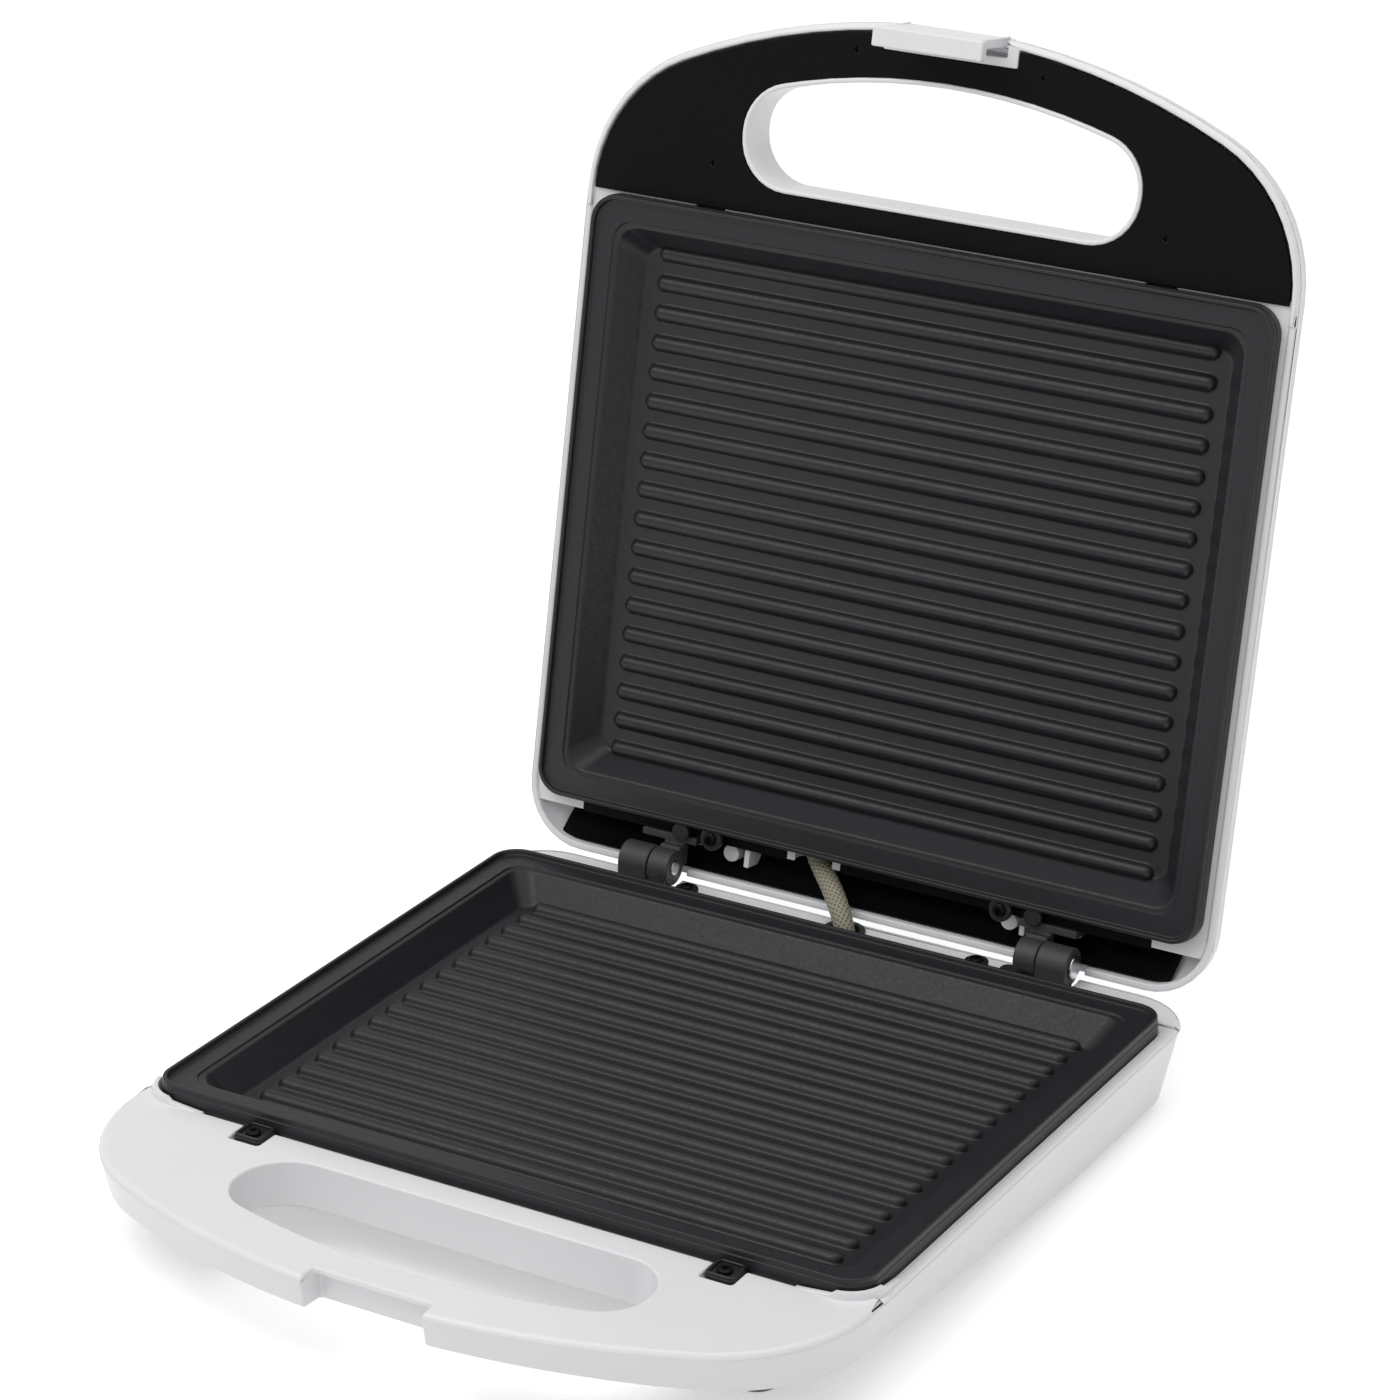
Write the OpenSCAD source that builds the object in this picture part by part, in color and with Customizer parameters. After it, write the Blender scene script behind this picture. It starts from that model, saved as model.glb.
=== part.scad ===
// Panini press with two ribbed grill plates, a hinged lid and a front latch.
// Every piece is worked out lying flat and closed, with the middle of the plates at x = 0, y = 0
// and the table at z = 0. The lid and latch are then swung open about the hinge.

/* [Body] */
// Half of the width over the two shells
half_w = 146.5; // [140:0.5:175]
// Distance from the plate centre to the front of the handle
handle_front = 199; // [190:1:240]
// Distance from the plate centre to the rear edge of the shells
rear_edge = 139.5; // [137:0.5:141]
// Radius of the handle's front curve
front_r = 270; // [240:5:400]
// Radius where the handle curve meets the sides
side_r = 60; // [50:1:70]
// Radius of the two rear corners
rear_r = 25; // [15:1:35]
// Wall thickness of the moulded shells
wall = 2.6; // [2:0.1:3.2]
// Draft of the lower shell from its top edge to its bottom edge
draft = 6.5; // [3:0.5:10]

/* [Heights above the table] */
// Top of the lower handle
handle_top = 35.1; // [35:0.1:37]
// Top edge of the lower side walls
side_top = 34; // [33.8:0.1:35]
// Rear deck of the lower shell
rear_deck = 33.6; // [33:0.1:33.8]
// Lowest edge of the lower shell, at the rear
shell_bottom = 4; // [3:0.5:6]
// Lowest edge of the lower handle, at its front
handle_bottom = 22.6; // [20:0.5:25]
// Top of the cooking ribs
rib_top = 30; // [29:0.5:31]
// Height of the plane in which the two halves meet
part_z = 41.3; // [41:0.1:43]

/* [Grill plates] */
// Half of the plate width over its rim
plate_w = 141.2; // [100:0.1:141.2]
// Half of the plate depth over its rim
plate_d = 118.8; // [80:0.1:118.8]
// Corner radius of the plate rim
plate_r = 11; // [6:0.5:16]
// Distance from rib to rib
rib_pitch = 11.5; // [9:0.5:11.5]
// Number of ribs on each plate
rib_count = 18; // [6:1:18]
// Half of the length of a rib
rib_half = 116.3; // [60:0.1:116.3]
// Height of a rib above the cooking floor
rib_h = 3; // [2:0.1:4]
// Thickness of the casting
cast_t = 3; // [2.5:0.1:4]

/* [Finger slot and latch] */
// Distance from the plate centre to the near edge of the finger slot
slot_near = 131; // [130:0.5:135]
// Half of the length between the slot's end curves
slot_half = 62; // [45:1:68]
// Radius of the slot's end curves
slot_end_r = 18; // [15:0.5:18]
// Half of the width of the latch hook
latch_half = 22.3; // [16:0.1:25]
// Depth of the latch notch behind the handle front
notch_depth = 9; // [7:0.5:9]

/* [Hinge] */
// Distance from the plate centre to the hinge axis
hinge_y = 134.8; // [134:0.1:136]
// Height of the hinge axis above the table
hinge_z = 40.4; // [40.2:0.1:41]
// How far the lid leans back when it is open
lid_angle = 100; // [0:1:100]
// Radius of the hinge pins
pin_r = 3; // [2:0.1:4]
// Radius of the hinge knuckles
knuckle_r = 7.2; // [6:0.1:7.2]
// Distance from the middle to the joint face of each hinge
hinge_x = 83.2; // [70:0.1:100]

/* [Hidden] */
$fn = 48;

white = "#EDEDEF";
black = "#0A0A0B";
coated = "#2E2E32";
steel = "#A9ABAE";
rubber = "#7E8084";
hinge_grey = "#38383A";

eps = 0.01;
// Clearance between a plate and the shell round it
plate_gap = 0.6;
// Gap that a loosely seated piece keeps from its seat
seat_gap = 0.3;
// Radial clearance of a pin or a screw in its bore
run_gap = 0.05;

// Plate section
rim_top = part_z - 0.5;
land_z = rim_top - 2;
floor_z = rib_top - rib_h;
under_z = floor_z - cast_t;
rim_bottom = rim_top - 7.2;
lip = 1.7;
land = 10;
slope_w = 8;
pan_gap = 12;
rib_r = 3;

// Shell section
skin = 2.8;
deck_skin = 2.6;
ledge_t = 2.8;
ledge_in = 7.2;
slope_y = 46;
bottom_slope = (handle_bottom - shell_bottom) / (handle_front + slope_y);
side_y = -plate_d + 6;
deck_y = plate_d + plate_gap;
ledge_top = rim_bottom - seat_gap;

// Bottom cover
cover_lift = 0.8;
cover_t = 2.5;
cover_top = cover_lift + cover_t;
cover_gap = 0.4;
cover_screw_x = plate_w - 16.2;
cover_screw_y = plate_d - 6.8;
post_r = 4.2;

// Finger slot
slot_wall = 2.4;
slot_front_r = front_r - 22;
front_cy = front_r - handle_front;
slot_cy = -slot_near - slot_end_r;

// Latch and its notch
notch_half = latch_half + 0.9;
notch_wall = handle_front - notch_depth;
latch_front = handle_front - 1;
latch_t = 3.4;
hook_reach = 7.4;
hook_t = 4.2;
hook_top = handle_top - 3.8;
ledge_z = hook_top + 1.2;
catch_depth = 4.2;
latch_pin_r = 1.5;
latch_barrel_r = 3;
latch_y = -latch_front + latch_barrel_r;
latch_z = hook_top + 23.2;
latch_body_half = latch_half - 2;

// Cover under the lid handle
cover_seat = ledge_top;
cover_face = handle_top - 0.4;
cover_screw_xy = [[38, -186], [93, -136]];

// Front tabs and rear lugs of the plates
tab_x = 93;
tab_w = 11.5;
tab_web = 2.8;
tab_len = 10.6;
tab_t = 2.5;
// The lower tabs show on the handle, and the upper ones lie under the handle cover
low_tab_top = handle_top;
up_tab_top = cover_seat - 1.9;
tab_screw_y = -plate_d - 5.8;
lug_t = 2.6;
lug_z = rim_top - 3.4;
lug_xs = [62, 75.5];
lug_rs = [4.6, 3.6];
lug_y = plate_d + 2.6;
screw_r = 1.5;
head_r = 2.8;

// Feet
front_foot = [107, 126];
rear_foot = [112, 104];
foot_r = 8.2;
front_foot_h = 12;
spigot_r = 3;

// Heating element
rod_r = 3.2;
rod_z = under_z - seat_gap - rod_r;
loop_w = 88;
loop_front = -60;
loop_rear = 96;
loop_r = 24;
cold_x = 22;
reflector_t = 0.6;
reflector_z = rod_z - rod_r - 0.5 - reflector_t;
reflector_w = 112;
reflector_front = -66;
reflector_rear = 108;
ref_screws = [[100, -58], [100, 96]];

// Hinge
knuckle_w = 12.6;
lid_knuckle_w = 9;
knuckle_gap = 0.4;
hinge_cut = 0.6;
bulkhead_y = plate_d + 1.8;
bulkhead_t = 2.4;

// Route of the sleeve that carries the wires from the base into the open lid
sleeve_r = 4;
sleeve_a = [5, 128, 22];
sleeve_b = [2, 130.5, 50];
sleeve_c = [-24, 154, 44];
sleeve_d = [-25, 154, 58];
sleeve_hole = [1.9, 130.8];
bush_r = sleeve_r + 3.6;
// Where the sleeve passes the bulkhead of the lid, across and at closed height
sleeve_lid = [-19.6, 54.2];

// Indicator lamps
lens_x = 14;
lens_y = -100;
lens_r = 5;

// Lid section: height above the flipped table, inset from the outline, and whether the handle is in
lid_sections = [[handle_top - 0.2, 1.2, true], [handle_top - 1.8, 0, true], [27, 0.6, true],
  [21, 5, true], [11, 17, false], [6, 32, false], [4, 52, false]];

// The open lid reaches furthest back where its handle is thickest
back_lean = [-handle_front + lid_sections[3][1], 2 * part_z - lid_sections[3][0]];
back_y = hinge_y + (back_lean[0] - hinge_y) * cos(lid_angle)
  + (back_lean[1] - hinge_z) * sin(lid_angle);
origin_y = (back_y - handle_front) / 2;

function arc(c, r, a0, a1, n) =
  [for (i = [0:n]) let (a = a0 + (a1 - a0) * i / n) [c[0] + r * cos(a), c[1] + r * sin(a)]];

// Plan of the shell and its handle, drawn in by d
function outline(d) =
  let (sx = half_w - side_r,
       reach = front_r - side_r,
       lean = asin(sx / reach),
       sy = front_cy - reach * cos(lean),
       rx = half_w - rear_r,
       ry = rear_edge - rear_r)
  concat(
    arc([rx, ry], rear_r - d, 0, 90, 8),
    arc([-rx, ry], rear_r - d, 90, 180, 8),
    arc([-sx, sy], side_r - d, 180, 270 - lean, 9),
    arc([0, front_cy], front_r - d, 270 - lean + 3, 270 + lean - 3, 14),
    arc([sx, sy], side_r - d, 270 + lean, 360, 9));

// Plan of the shell without its handle, drawn in by d
function body_plan(d) = rounded(half_w - d, -plate_d + d, rear_edge - d, max(rear_r - d / 2, 8));

function rounded(hw, y0, y1, r) = concat(
  arc([hw - r, y1 - r], r, 0, 90, 6), arc([r - hw, y1 - r], r, 90, 180, 6),
  arc([r - hw, y0 + r], r, 180, 270, 6), arc([hw - r, y0 + r], r, 270, 360, 6));

// Plan of the finger slot, grown by g
function slot_plan(g) =
  let (lean = asin(slot_half / (slot_front_r - slot_end_r)),
       cy = front_cy - (slot_front_r - slot_end_r) * cos(lean))
  concat(
    arc([slot_half, slot_cy], slot_end_r + g, 0, 90, 8),
    arc([-slot_half, slot_cy], slot_end_r + g, 90, 180, 8),
    arc([-slot_half, cy], slot_end_r + g, 180, 270 - lean, 8),
    arc([0, front_cy], slot_front_r + g, 270 - lean + 2, 270 + lean - 2, 10),
    arc([slot_half, cy], slot_end_r + g, 270 + lean, 360, 8));

function bottom_at(y) = shell_bottom + max(0, slope_y - y) * bottom_slope;

module place() { translate([0, -origin_y, 0]) children(); }

module swung() {
  place()
    translate([0, hinge_y, hinge_z]) rotate([-lid_angle, 0, 0]) translate([0, -hinge_y, -hinge_z])
      children();
}

// Pieces of the lid are drawn like those of the base and turned over about the parting plane
module flipped() { swung() translate([0, 0, 2 * part_z]) mirror([0, 0, 1]) children(); }

module both() {
  children();
  mirror([1, 0, 0]) children();
}

module slab(z0, z1, pts) { translate([0, 0, z0]) linear_extrude(z1 - z0) polygon(pts); }

module block(lo, hi) { translate(lo) cube(hi - lo); }

module peg(x, y, z0, z1, r) { translate([x, y, z0]) cylinder(r = r, h = z1 - z0); }

module along_x(x0, x1, y, z, r) {
  translate([x0, y, z]) rotate([0, 90, 0]) cylinder(r = r, h = x1 - x0);
}

module along_y(y0, y1, x, z, r) {
  translate([x, y1, z]) rotate([90, 0, 0]) cylinder(r = r, h = y1 - y0);
}

// ---- lower shell ----

// The drafted outside of the lower shell, drawn in by d and ending at top
module drafted(d, top) {
  hull() {
    slab(top - 0.2, top, outline(d + 1.6));
    slab(top - 2, top - 1.8, outline(d + 0.2));
    slab(shell_bottom - 1, shell_bottom - 0.8, outline(d + draft));
  }
}

// Everything between the sloping underside, lifted by lo, and the same lifted by hi
module between(lo, hi) {
  y0 = -handle_front - 10;
  y1 = rear_edge + 10;
  rotate([90, 0, 90])
    translate([0, 0, -half_w - 5])
      linear_extrude(2 * half_w + 10)
        polygon([[y0, bottom_at(y0) + lo], [slope_y, shell_bottom + lo], [y1, shell_bottom + lo],
          [y1, shell_bottom + hi], [slope_y, shell_bottom + hi], [y0, bottom_at(y0) + hi]]);
}

// Ledge that the plate stands over
module plate_ledge(top) {
  difference() {
    block([-half_w, -plate_d - 2.6, top - ledge_t], [half_w, plate_d + 2.6, top]);
    slab(top - ledge_t - 1, top + 1,
      rounded(plate_w - ledge_in, ledge_in - plate_d, plate_d - ledge_in, plate_r));
  }
}

module tab_seat(top) {
  both()
    block([tab_x - 8, -plate_d - tab_len - 2.4, top - 9], [tab_x + 8, -plate_d - 1, top]);
}

// Walls of the latch notch, from z0 to z1
module notch_walls(z0, z1, depth) {
  block([-notch_half - wall, -handle_front - 1, z0],
    [notch_half + wall, -handle_front + depth + wall, z1]);
}

// Solid parts that stand in the hollow of the lower shell
module base_inside() {
  slab(0, handle_top, slot_plan(slot_wall));
  plate_ledge(ledge_top);
  tab_seat(low_tab_top);
  notch_walls(0, handle_top, notch_depth + catch_depth);
  both() {
    peg(front_foot[0], -front_foot[1], front_foot_h, handle_top, foot_r + 0.4);
    for (y = [-cover_screw_y, cover_screw_y])
      peg(cover_screw_x, y, bottom_at(y - post_r) + cover_top, ledge_top, post_r);
  }
}

// Hollow of the lower shell, without what stands in it
module base_hollow() {
  difference() {
    drafted(wall, handle_top - skin);
    block([-half_w, deck_y, rear_deck - deck_skin], [half_w, rear_edge, handle_top]);
    base_inside();
  }
}

module latch_notch() {
  block([-notch_half, -handle_front - 5, 0], [notch_half, -notch_wall, handle_top + 5]);
  block([-notch_half, -notch_wall - 1, 0], [notch_half, -notch_wall + catch_depth, ledge_z]);
}

module plate_opening() {
  slab(ledge_top, part_z, rounded(plate_w + plate_gap, -deck_y, deck_y, plate_r + plate_gap));
  slab(ledge_top - ledge_t, part_z,
    rounded(plate_w - ledge_in, ledge_in - plate_d, plate_d - ledge_in, plate_r));
}

module tab_pocket(top) {
  both() {
    block([tab_x - tab_w / 2 - 0.4, -plate_d - tab_len - 0.4, top - tab_t],
      [tab_x + tab_w / 2 + 0.4, -plate_d + tab_web + 0.4, part_z]);
    peg(tab_x, tab_screw_y, top - 8, top, screw_r + run_gap);
  }
}

// Opening in the rear deck for both knuckles of one hinge
module hinge_opening() {
  block([hinge_x - lid_knuckle_w - hinge_cut, hinge_y - knuckle_r - hinge_cut,
      rear_deck - deck_skin - 1],
    [hinge_x + knuckle_w + hinge_cut, rear_edge + 10, part_z + 10]);
}

module base_shell() {
  color(white) place() difference() {
    union() {
      intersection() {
        drafted(0, handle_top);
        between(0, 60);
      }
      both() {
        peg(front_foot[0], -front_foot[1], front_foot_h, handle_top - skin, foot_r + 0.4);
        for (i = [0:1])
          peg(lug_xs[i], lug_y, rear_deck - 1, lug_z, lug_rs[i] - 0.6);
      }
    }
    base_hollow();
    plate_opening();
    slab(0, 60, slot_plan(0));
    latch_notch();
    tab_pocket(low_tab_top);
    // Side walls and rear deck lie a little lower than the handle
    block([-half_w - 1, side_y, side_top], [half_w + 1, plate_d + 1, part_z + 1]);
    block([-half_w - 1, plate_d + 1, lug_z], [half_w + 1, rear_edge + 1, part_z + 1]);
    difference() {
      block([-half_w - 1, plate_d + 1, rear_deck], [half_w + 1, rear_edge + 1, lug_z]);
      both() for (i = [0:1])
        peg(lug_xs[i], lug_y, rear_deck - 1, lug_z, lug_rs[i] - 0.6);
    }
    both() {
      hinge_opening();
      peg(front_foot[0], -front_foot[1], front_foot_h - 1, front_foot_h + 9, spigot_r + run_gap);
      for (s = [-1, 1])
        peg(cover_screw_x, s * cover_screw_y, 0, ledge_top - 4, screw_r + run_gap);
      for (dx = [-1.4, knuckle_w + 1.4])
        peg(hinge_x + dx, 124, rear_deck - 4, rear_deck - 0.5, screw_r + run_gap);
      peg(lug_xs[0], lug_y, rear_deck - 1, lug_z + 1, 1.3 + run_gap);
    }
    peg(sleeve_hole[0], sleeve_hole[1], rear_deck - 5, rear_deck + 5, bush_r + run_gap);
    gland_bar(-8, 6, gland_r + run_gap);
  }
}

module base_bottom_cover() {
  color(white) place() difference() {
    union() {
      intersection() {
        drafted(wall + cover_gap, handle_top);
        between(cover_lift, cover_top);
        block([-half_w, -plate_d + 2, 0], [half_w, rear_edge, 40]);
      }
      both() for (p = ref_screws)
        peg(p[0], p[1], bottom_at(p[1]) + cover_top - 1, reflector_z, 4);
    }
    both() {
      for (s = [-1, 1])
        peg(cover_screw_x, s * cover_screw_y, 0, 40, screw_r + run_gap);
      peg(rear_foot[0], rear_foot[1], 0, 20, spigot_r + run_gap);
      for (p = ref_screws)
        peg(p[0], p[1], bottom_at(p[1]) + cover_lift + 0.6, reflector_z + 1, 1.3 + run_gap);
      // Vents
      for (i = [0:5])
        block([14 + i * 14, 10, 0], [20 + i * 14, 50, 20]);
    }
  }
}

module cover_screws() {
  color(steel) place() both() for (s = [-1, 1]) {
    y = s * cover_screw_y;
    // The lower end of a head meets the sloping cover at its rear side
    z = bottom_at(y + head_r) + cover_lift;
    peg(cover_screw_x, y, z - 1.6, z, head_r);
    peg(cover_screw_x, y, z - 1, z + 12, screw_r);
  }
}

module front_feet() {
  color(rubber) place() both() {
    peg(front_foot[0], -front_foot[1], 0, front_foot_h, foot_r);
    peg(front_foot[0], -front_foot[1], front_foot_h - 1, front_foot_h + 8, spigot_r);
  }
}

module rear_feet() {
  color(rubber) place() both() {
    peg(rear_foot[0], rear_foot[1], 0, shell_bottom + cover_lift, foot_r + 0.8);
    peg(rear_foot[0], rear_foot[1], 1, shell_bottom + cover_top + 1.5, spigot_r);
  }
}

// ---- grill plates ----

module rib_row() {
  for (i = [0:rib_count - 1])
    along_x(-rib_half, rib_half, (i - (rib_count - 1) / 2) * rib_pitch, rib_top - rib_r, rib_r);
}

module grill_plate(tab_top) {
  inner = lip + land;
  difference() {
    union() {
      slab(rim_bottom, rim_top, rounded(plate_w, -plate_d, plate_d, plate_r));
      slab(under_z, land_z, rounded(plate_w - pan_gap, pan_gap - plate_d, plate_d - pan_gap, 8));
      both() {
        block([tab_x - tab_w / 2, -plate_d - tab_len, tab_top - tab_t],
          [tab_x + tab_w / 2, -plate_d + tab_web, tab_top]);
        block([tab_x - tab_w / 2, -plate_d, tab_top - tab_t],
          [tab_x + tab_w / 2, -plate_d + tab_web, rim_bottom + 1]);
        for (i = [0:1]) {
          peg(lug_xs[i], lug_y, lug_z, lug_z + lug_t, lug_rs[i]);
          block([lug_xs[i] - lug_rs[i], plate_d - 1, lug_z],
            [lug_xs[i] + lug_rs[i], lug_y, lug_z + lug_t]);
        }
      }
    }
    // Step inside the lip, then the sloping wall down to the cooking floor
    slab(land_z, part_z, rounded(plate_w - lip, lip - plate_d, plate_d - lip, plate_r - lip));
    hull() {
      slab(land_z, land_z + eps,
        rounded(plate_w - inner, inner - plate_d, plate_d - inner, plate_r - 3));
      slab(floor_z, floor_z + eps, rounded(plate_w - inner - slope_w, inner + slope_w - plate_d,
        plate_d - inner - slope_w, plate_r - 5));
    }
    // Hollow under the land, between the rim wall and the pan
    difference() {
      slab(rim_bottom - 1, land_z - cast_t,
        rounded(plate_w - 2.8, 2.8 - plate_d, plate_d - 2.8, plate_r - 2.8));
      slab(under_z, land_z,
        rounded(plate_w - pan_gap, pan_gap - plate_d, plate_d - pan_gap, 8));
    }
    both() {
      peg(tab_x, tab_screw_y, tab_top - 5, tab_top + 5, screw_r + run_gap);
      for (i = [0:1])
        peg(lug_xs[i], lug_y, lug_z - 5, lug_z + 5, 1.3 + run_gap);
    }
  }
  rib_row();
}

module lower_grill_plate() { color(coated) place() grill_plate(low_tab_top); }
module upper_grill_plate() { color(coated) flipped() grill_plate(up_tab_top); }

// Front tab screws and the screws through the inner rear lugs
module plate_screws(tab_top) {
  both() {
    peg(tab_x, tab_screw_y, tab_top, tab_top + 1.5, head_r);
    peg(tab_x, tab_screw_y, tab_top - 7, tab_top + 1, screw_r);
    peg(lug_xs[0], lug_y, lug_z + lug_t, lug_z + lug_t + 0.6, 2.6);
    peg(lug_xs[0], lug_y, rear_deck, lug_z + lug_t + 0.5, 1.3);
  }
}

module lower_plate_screws() { color(black) place() plate_screws(low_tab_top); }
module upper_plate_screws() { color(black) flipped() plate_screws(up_tab_top); }

// ---- heating element and what holds it ----

module corner(x, y, a) {
  translate([x, y, rod_z]) rotate([0, 0, a])
    rotate_extrude(angle = 90) translate([loop_r, 0]) circle(r = rod_r);
}

module heating_element() {
  both() {
    along_y(loop_front + loop_r, loop_rear - loop_r, loop_w, rod_z, rod_r);
    along_x(cold_x, loop_w - loop_r, loop_rear, rod_z, rod_r);
    corner(loop_w - loop_r, loop_rear - loop_r, 0);
    corner(loop_w - loop_r, loop_front + loop_r, 270);
  }
  along_x(-loop_w + loop_r, loop_w - loop_r, loop_front, rod_z, rod_r);
}

module element_ends() {
  both() {
    along_x(cold_x - 9, cold_x, loop_rear, rod_z, rod_r);
    along_x(cold_x - 14, cold_x - 8, loop_rear, rod_z, 1.2);
  }
}

module element_clips() {
  both() for (y = [-14, 50]) difference() {
    block([loop_w - 5.5, y - 4, rod_z - 1.3], [loop_w + 5.5, y + 4, under_z]);
    along_y(y - 5, y + 5, loop_w, rod_z, rod_r + run_gap);
  }
}

module reflector() {
  t = reflector_t;
  difference() {
    block([-reflector_w, reflector_front, reflector_z],
      [reflector_w, reflector_rear, reflector_z + 4]);
    block([t - reflector_w, reflector_front + t, reflector_z + t],
      [reflector_w - t, reflector_rear - t, reflector_z + 9]);
    both() for (p = ref_screws)
      peg(p[0], p[1], reflector_z - 1, reflector_z + 2, 1.3 + run_gap);
  }
}

module reflector_screws() {
  both() for (p = ref_screws) {
    peg(p[0], p[1], reflector_z + reflector_t, reflector_z + reflector_t + 1.5, 2.6);
    peg(p[0], p[1], reflector_z - 0.4, reflector_z + 1.5, 1.3);
  }
}

module thermal_fuse() {
  along_x(26, 46, 14, under_z - seat_gap - 2, 2);
  along_x(20, 52, 14, under_z - seat_gap - 2, 0.6);
}

module lower_heating_element() { color(steel) place() heating_element(); }
module upper_heating_element() { color(steel) flipped() heating_element(); }
module lower_element_ends() { color("white") place() element_ends(); }
module upper_element_ends() { color("white") flipped() element_ends(); }
module lower_element_clips() { color(steel) place() element_clips(); }
module upper_element_clips() { color(steel) flipped() element_clips(); }
module lower_reflector() { color(steel) place() reflector(); }
module upper_reflector() { color(steel) flipped() reflector(); }
module lower_reflector_screws() { color(steel) place() reflector_screws(); }
module upper_reflector_screws() { color(steel) flipped() reflector_screws(); }
module lower_thermal_fuse() { color(steel) place() thermal_fuse(); }
module upper_thermal_fuse() { color(steel) flipped() thermal_fuse(); }

module thermostat() {
  color("#D9D4C4") place() {
    peg(0, 14, under_z - seat_gap - 4.6, under_z - seat_gap, 8);
    peg(0, 14, under_z - seat_gap - 5.6, under_z - seat_gap - 4, 3);
    both() block([7, 12, under_z - seat_gap - 4], [13, 16, under_z - seat_gap - 3.2]);
  }
}

block_z = shell_bottom + cover_top;

module terminal_block() {
  color("#E4E0D4") place() difference() {
    block([-40, 112, block_z], [-12, 124, block_z + 10]);
    for (x = [-34, -26, -18]) {
      along_y(111, 125, x, block_z + 4, 1.6);
      peg(x, 118, block_z + 4, block_z + 12, 2);
    }
  }
}

gland_x = -55;
gland_z = 18;
gland_r = 6;
// Lean of the rear wall, and where its outside lies at the height of the gland
wall_lean = atan((draft - 0.2) / (handle_top - 1.8 - shell_bottom + 0.8));
gland_y = rear_edge - 0.2 - (handle_top - 2 - gland_z) * tan(wall_lean);

// Round bar through the rear wall, from z0 to z1 outwards
module gland_bar(z0, z1, r) {
  translate([gland_x, gland_y, gland_z]) rotate([-90 - wall_lean, 0, 0])
    translate([0, 0, z0]) cylinder(r = r, h = z1 - z0);
}

module cord_gland() {
  color(black) place() difference() {
    union() {
      gland_bar(-6, 2, gland_r);
      gland_bar(0.1, 2, gland_r + 2);
    }
    gland_bar(-7, 3, 3.6);
  }
}

// ---- hinges ----

// Right-hand bracket of the base: a knuckle, a leg through the deck and a foot below it
module base_hinge() {
  x0 = hinge_x + knuckle_gap / 2;
  x1 = hinge_x + knuckle_w;
  deck_under = rear_deck - deck_skin;
  difference() {
    union() {
      along_x(x0, x1, hinge_y, hinge_z, knuckle_r);
      block([x0, hinge_y - knuckle_r, deck_under - 3], [x1, hinge_y, hinge_z]);
      block([hinge_x - 4, plate_d + 3, deck_under - 3], [x1 + 4, hinge_y - 3, deck_under]);
    }
    along_x(x0 - 1, x1 + 1, hinge_y, hinge_z, pin_r + run_gap);
    for (dx = [-1.4, knuckle_w + 1.4])
      peg(hinge_x + dx, 124, deck_under - 5, deck_under + 1, screw_r + run_gap);
  }
}

module base_hinge_right() { color(hinge_grey) place() base_hinge(); }
module base_hinge_left() { color(hinge_grey) place() mirror([1, 0, 0]) base_hinge(); }

module base_hinge_screws() {
  z = rear_deck - deck_skin - 3;
  color(steel) place() both() for (dx = [-1.4, knuckle_w + 1.4]) {
    peg(hinge_x + dx, 124, z - 1.5, z, 2.6);
    peg(hinge_x + dx, 124, z - 1, z + 4.6, screw_r);
  }
}

module hinge_pin() {
  along_x(hinge_x - lid_knuckle_w - 0.4, hinge_x + knuckle_w + 0.6, hinge_y, hinge_z, pin_r);
  along_x(hinge_x + knuckle_w, hinge_x + knuckle_w + 1.2, hinge_y, hinge_z, pin_r + 1.6);
}

module hinge_pin_right() { color(steel) place() hinge_pin(); }
module hinge_pin_left() { color(steel) place() mirror([1, 0, 0]) hinge_pin(); }

arm_y = bulkhead_y + bulkhead_t;
arm_screw_z = part_z + 15;
arm_screw_xs = [hinge_x - 10, hinge_x + 6];

// Right-hand arm of the lid, drawn closed: a knuckle, a tongue and a flange on the bulkhead
module lid_hinge() {
  x0 = hinge_x - lid_knuckle_w;
  x1 = hinge_x - knuckle_gap / 2;
  difference() {
    union() {
      along_x(x0, x1, hinge_y, hinge_z, knuckle_r - 0.2);
      block([x0, arm_y, part_z + 5], [x1, hinge_y, part_z + 9]);
      block([x0, arm_y + 4, part_z + 1.5], [x1, hinge_y, part_z + 9]);
      block([hinge_x - 14, arm_y, part_z + 5], [hinge_x + 10, arm_y + 3, part_z + 20]);
    }
    along_x(x0 - 1, x1 + 1, hinge_y, hinge_z, pin_r + run_gap);
    for (x = arm_screw_xs)
      along_y(arm_y - 1, arm_y + 4, x, arm_screw_z, screw_r + run_gap);
  }
}

module lid_hinge_right() { color(hinge_grey) swung() lid_hinge(); }
module lid_hinge_left() { color(hinge_grey) swung() mirror([1, 0, 0]) lid_hinge(); }

module lid_hinge_screws() {
  color(steel) swung() both() for (x = arm_screw_xs) {
    along_y(arm_y + 3, arm_y + 4.4, x, arm_screw_z, 2.6);
    along_y(arm_y - 1.8, arm_y + 3.5, x, arm_screw_z, screw_r);
  }
}

// ---- wiring sleeve ----

function bezier(t) =
  pow(1 - t, 3) * sleeve_a + 3 * t * pow(1 - t, 2) * sleeve_b
  + 3 * t * t * (1 - t) * sleeve_c + pow(t, 3) * sleeve_d;

function unit(v) = v / norm(v);

sleeve_rings = 18;
sleeve_sides = 12;

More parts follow.
